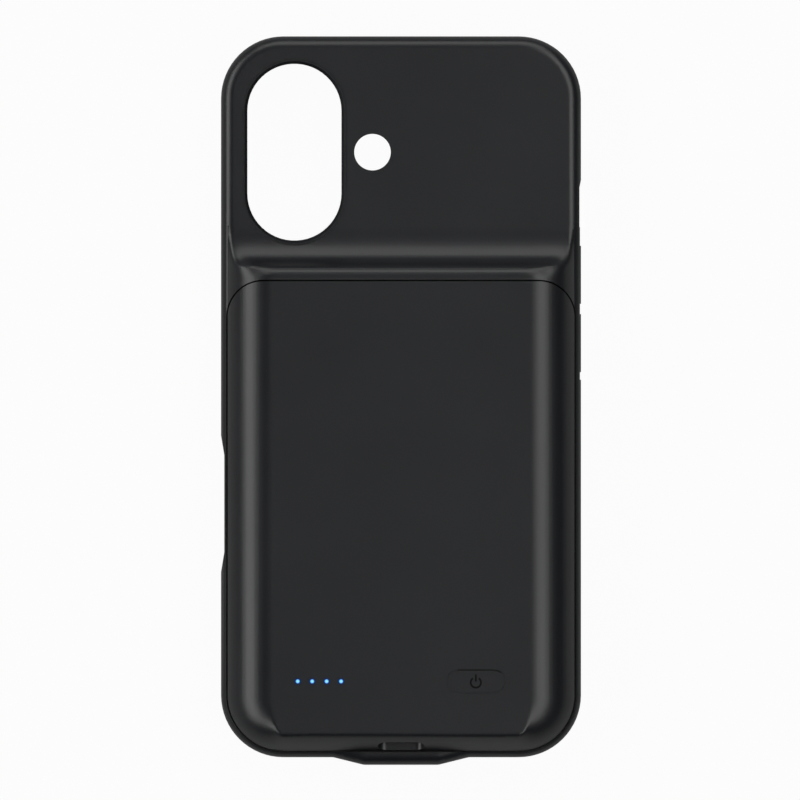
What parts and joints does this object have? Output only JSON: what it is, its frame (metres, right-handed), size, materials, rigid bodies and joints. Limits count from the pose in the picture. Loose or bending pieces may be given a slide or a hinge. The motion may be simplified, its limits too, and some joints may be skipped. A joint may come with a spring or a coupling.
{
  "type": "phone battery case",
  "caption": "Clip-on battery case for a phone: a frame that grips the phone, with a camera window, a ramp and a raised battery back with a power button and status lights.",
  "frame": {"origin": "centre of the footprint, on the plane of the front rim that the case lies on", "axes": "+X across the case, +Y along it towards the camera end, +Z out of the battery back"},
  "size_m": [0.0758, 0.1534, 0.017],
  "materials": {
    "shell_plastic": "satin moulded black",
    "key_plastic": "satin moulded black",
    "lining_plastic": "fine matt black",
    "plug_plastic": "matt black",
    "plug_metal": "bright nickel",
    "cell_pouch": "dull foil",
    "tape": "clear adhesive film",
    "foam": "soft foam",
    "tab_metal": "nickel strip",
    "board": "solder mask",
    "red_wire": "smooth insulation",
    "black_wire": "smooth insulation",
    "flex_film": "amber film",
    "led_lens": "clear lens",
    "chip": "moulded package",
    "ferrite": "sintered grey",
    "ceramic": "sintered brown"
  },
  "bodies": {
    "case": {"bumper": "shell_plastic", "back_cover": "shell_plastic", "inner_plate": "lining_plastic", "plug_block": "plug_plastic", "phone_plug_insert": "plug_plastic", "charge_socket_tongue": "plug_plastic", "phone_plug_shell": "plug_metal", "charge_socket_shell": "plug_metal", "switch_body": "plug_metal", "battery_cell": "cell_pouch", "cell_adhesive": "tape", "cell_cushion": "foam", "cell_tabs": "tab_metal", "main_board": "board", "protection_board": "board", "red_lead": "red_wire", "black_lead": "black_wire", "plug_flex": "flex_film", "status_leds": "led_lens", "light_guide": "led_lens", "controller_chip": "chip", "boost_inductor": "ferrite", "board_capacitors": "ceramic"},
    "power_button": {"power_button": "key_plastic", "switch_plunger": "plug_plastic"},
    "side_key": {"side_key": "key_plastic"},
    "volume_up_key": {"volume_up_key": "key_plastic"},
    "volume_down_key": {"volume_down_key": "key_plastic"}
  },
  "joints": [
    {"name": "power_button_press", "type": "slide", "parent": "case", "child": "power_button", "axis": [0, 0, -1], "range_m": [0, 0.0003], "stiffness_N_per_m": 3000},
    {"name": "side_key_press", "type": "slide", "parent": "case", "child": "side_key", "axis": [1, 0, 0], "range_m": [0, 0.0003], "stiffness_N_per_m": 3000},
    {"name": "volume_up_key_press", "type": "slide", "parent": "case", "child": "volume_up_key", "axis": [-1, 0, 0], "range_m": [0, 0.0003], "stiffness_N_per_m": 3000},
    {"name": "volume_down_key_press", "type": "slide", "parent": "case", "child": "volume_down_key", "axis": [-1, 0, 0], "range_m": [0, 0.0003], "stiffness_N_per_m": 3000}
  ]
}
